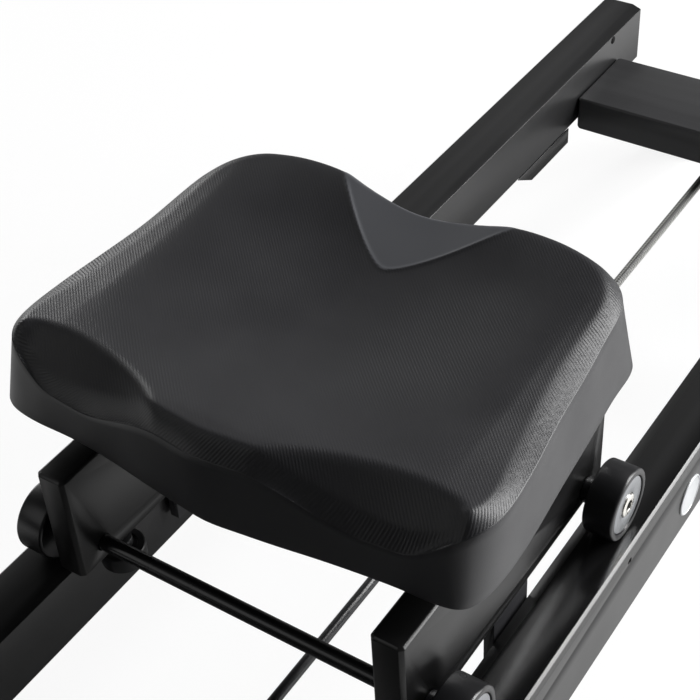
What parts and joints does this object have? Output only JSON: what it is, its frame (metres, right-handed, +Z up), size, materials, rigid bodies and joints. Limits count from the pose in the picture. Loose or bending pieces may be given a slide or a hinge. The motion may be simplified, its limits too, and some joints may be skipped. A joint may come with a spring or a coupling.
{
  "type": "water rowing machine",
  "caption": "Rowing machine with a moulded seat rolling on twin rails, a clear water tank with a paddle, a strap-driven handle, a recoil cord, footrests and a tilting monitor.",
  "frame": {"origin": "on the floor, under the middle of the machine's bounding box", "axes": "+X towards rail_right, which is at the seated rower's left hand, +Y from the tank towards the rear feet, +Z up"},
  "size_m": [0.6098, 2.13, 0.696],
  "materials": {
    "seat_foam": "moulded foam skin, fine ribs on top, smooth sides",
    "black_wood": "black stained wood, satin lacquer",
    "black_steel": "black powder coat",
    "black_plastic": "fine moulded grain",
    "black_rubber": "matt",
    "roller_black": "turned, soft shine",
    "steel": "satin",
    "webbing": "tight woven webbing",
    "cord": "braided sheath",
    "grip_rubber": "ribbed foam grip",
    "clear_shell": "clear moulded polycarbonate",
    "screen_glass": "dark display window"
  },
  "bodies": {
    "frame": {"rail_left": "black_wood", "rail_right": "black_wood", "rear_spreader": "black_wood", "stop_block_left": "black_plastic", "stop_block_right": "black_plastic", "rear_leg_left": "black_wood", "rear_leg_right": "black_wood", "rear_foot_left": "black_rubber", "rear_foot_right": "black_rubber", "base_side_left": "black_wood", "base_side_right": "black_wood", "front_board": "black_wood", "carrier_board": "black_wood", "tank_shelf": "black_wood", "deck_board": "black_wood", "tank_lower_shell": "clear_shell", "tank_gasket": "black_rubber", "tank_upper_shell": "clear_shell", "fill_plug": "black_plastic", "strap_tower": "black_steel", "drive_strap": "webbing", "strap_run": "webbing", "recoil_cord_front": "cord", "recoil_cord_run": "cord", "bungee_anchor": "black_steel", "recoil_bungee": "cord", "footboard_left": "black_plastic", "footboard_right": "black_plastic", "monitor_arm": "black_steel"},
    "carriage": {"side_block_left": "black_wood", "side_block_right": "black_wood", "axle_front": "black_steel", "axle_rear": "black_steel", "seat_base_plate": "black_plastic", "glide_bracket_left": "black_steel", "glide_bracket_right": "black_steel", "seat_cushion": "seat_foam"},
    "roller_fl": {"roller_front_left": "roller_black"},
    "roller_fr": {"roller_front_right": "roller_black"},
    "roller_rl": {"roller_rear_left": "roller_black"},
    "roller_rr": {"roller_rear_right": "roller_black"},
    "guide_l": {"guide_roller_left": "roller_black"},
    "guide_r": {"guide_roller_right": "roller_black"},
    "handle": {"handle_bar": "grip_rubber", "strap_clamp": "black_steel"},
    "spool": {"strap_spool": "black_plastic"},
    "pulley_lower": {"strap_pulley_lower": "black_plastic"},
    "pulley_upper": {"strap_pulley_upper": "black_plastic"},
    "idler_upper": {"recoil_idler_upper": "black_plastic"},
    "idler_lower": {"recoil_idler_lower": "black_plastic"},
    "link": {"recoil_link": "black_plastic"},
    "paddle_wheel": {"paddle": "steel"},
    "heel_l": {"heel_rest_left": "black_rubber"},
    "heel_r": {"heel_rest_right": "black_rubber"},
    "monitor": {"monitor_case": "black_plastic", "monitor_screen": "screen_glass"},
    "button_l": {"monitor_button_left": "steel"},
    "button_r": {"monitor_button_right": "steel"},
    "wheel_l": {"transport_wheel_left": "black_rubber"},
    "wheel_r": {"transport_wheel_right": "black_rubber"}
  },
  "joints": [
    {"name": "seat_slide", "type": "slide", "parent": "frame", "child": "carriage", "axis": [0, 1, 0], "range_m": [-0.33, 0.41]},
    {"name": "roller_front_left_spin", "type": "hinge", "parent": "carriage", "child": "roller_fl", "pos_m": [-0.1319, 0.085, 0.2823], "axis": [1, 0, 0], "range_deg": [-1070, 862]},
    {"name": "roller_front_right_spin", "type": "hinge", "parent": "carriage", "child": "roller_fr", "pos_m": [0.1319, 0.085, 0.2823], "axis": [1, 0, 0], "range_deg": [-1070, 862]},
    {"name": "roller_rear_left_spin", "type": "hinge", "parent": "carriage", "child": "roller_rl", "pos_m": [-0.1319, 0.257, 0.2823], "axis": [1, 0, 0], "range_deg": [-1070, 862]},
    {"name": "roller_rear_right_spin", "type": "hinge", "parent": "carriage", "child": "roller_rr", "pos_m": [0.1319, 0.257, 0.2823], "axis": [1, 0, 0], "range_deg": [-1070, 862]},
    {"name": "guide_left_spin", "type": "hinge", "parent": "carriage", "child": "guide_l", "pos_m": [-0.1007, 0.102, 0.256], "axis": [0, 0, 1], "range_deg": [-1402, 1742]},
    {"name": "guide_right_spin", "type": "hinge", "parent": "carriage", "child": "guide_r", "pos_m": [0.1007, 0.102, 0.256], "axis": [0, 0, 1], "range_deg": [-1742, 1402]},
    {"name": "handle_pull", "type": "slide", "parent": "frame", "child": "handle", "axis": [0, 1, 0], "range_m": [0, 1], "stiffness_N_per_m": 20, "springref_m": -0.5, "deforming": ["strap_run"]},
    {"name": "spool_spin", "type": "hinge", "parent": "frame", "child": "spool", "pos_m": [0, -0.78, 0.258], "axis": [0, 0, 1], "range_deg": [0, 1850]},
    {"name": "pulley_lower_spin", "type": "hinge", "parent": "frame", "child": "pulley_lower", "pos_m": [0, -0.47, 0.2851], "axis": [1, 0, 0], "range_deg": [0, 2720]},
    {"name": "pulley_upper_spin", "type": "hinge", "parent": "frame", "child": "pulley_upper", "pos_m": [0, -0.4318, 0.4879], "axis": [1, 0, 0], "range_deg": [-3355, 0]},
    {"name": "link_slide", "type": "slide", "parent": "frame", "child": "link", "axis": [0, 1, 0], "range_m": [-0.5, 0], "deforming": ["recoil_cord_run", "recoil_bungee"]},
    {"name": "idler_upper_spin", "type": "hinge", "parent": "frame", "child": "idler_upper", "pos_m": [0, -0.4708, 0.2297], "axis": [1, 0, 0], "range_deg": [0, 1810]},
    {"name": "idler_lower_spin", "type": "hinge", "parent": "frame", "child": "idler_lower", "pos_m": [0, -0.4392, 0.2023], "axis": [1, 0, 0], "range_deg": [-1810, 0]},
    {"name": "paddle_spin", "type": "hinge", "parent": "frame", "child": "paddle_wheel", "pos_m": [0, -0.78, 0.184], "axis": [0, 0, 1], "continuous": true},
    {"name": "heel_left_slide", "type": "slide", "parent": "frame", "child": "heel_l", "axis": [0, -0.6428, 0.766], "range_m": [0, 0.08]},
    {"name": "heel_right_slide", "type": "slide", "parent": "frame", "child": "heel_r", "axis": [0, -0.6428, 0.766], "range_m": [0, 0.08]},
    {"name": "monitor_tilt", "type": "hinge", "parent": "frame", "child": "monitor", "pos_m": [0, -0.519, 0.6039], "axis": [1, 0, 0], "range_deg": [-20, 30]},
    {"name": "button_left_press", "type": "slide", "parent": "monitor", "child": "button_l", "axis": [0, -0.8829, -0.4695], "range_m": [0, 0.0015], "stiffness_N_per_m": 800, "springref_m": -0.0005},
    {"name": "button_right_press", "type": "slide", "parent": "monitor", "child": "button_r", "axis": [0, -0.8829, -0.4695], "range_m": [0, 0.0015], "stiffness_N_per_m": 800, "springref_m": -0.0005},
    {"name": "wheel_left_spin", "type": "hinge", "parent": "frame", "child": "wheel_l", "pos_m": [-0.2896, -1.035, 0.035], "axis": [1, 0, 0], "continuous": true},
    {"name": "wheel_right_spin", "type": "hinge", "parent": "frame", "child": "wheel_r", "pos_m": [0.2896, -1.035, 0.035], "axis": [1, 0, 0], "continuous": true}
  ],
  "couplings": [
    {"joint": "roller_front_left_spin", "follows": "seat_slide", "rad_per_m": -45.455},
    {"joint": "roller_front_right_spin", "follows": "seat_slide", "rad_per_m": -45.455},
    {"joint": "roller_rear_left_spin", "follows": "seat_slide", "rad_per_m": -45.455},
    {"joint": "roller_rear_right_spin", "follows": "seat_slide", "rad_per_m": -45.455},
    {"joint": "guide_left_spin", "follows": "seat_slide", "rad_per_m": 74.074},
    {"joint": "guide_right_spin", "follows": "seat_slide", "rad_per_m": -74.074},
    {"joint": "spool_spin", "follows": "handle_pull", "rad_per_m": 32.154},
    {"joint": "pulley_lower_spin", "follows": "handle_pull", "rad_per_m": 47.393},
    {"joint": "pulley_upper_spin", "follows": "handle_pull", "rad_per_m": -58.48},
    {"joint": "link_slide", "follows": "handle_pull", "ratio": -0.49839},
    {"joint": "idler_upper_spin", "follows": "handle_pull", "rad_per_m": 31.544},
    {"joint": "idler_lower_spin", "follows": "handle_pull", "rad_per_m": -31.544}
  ]
}
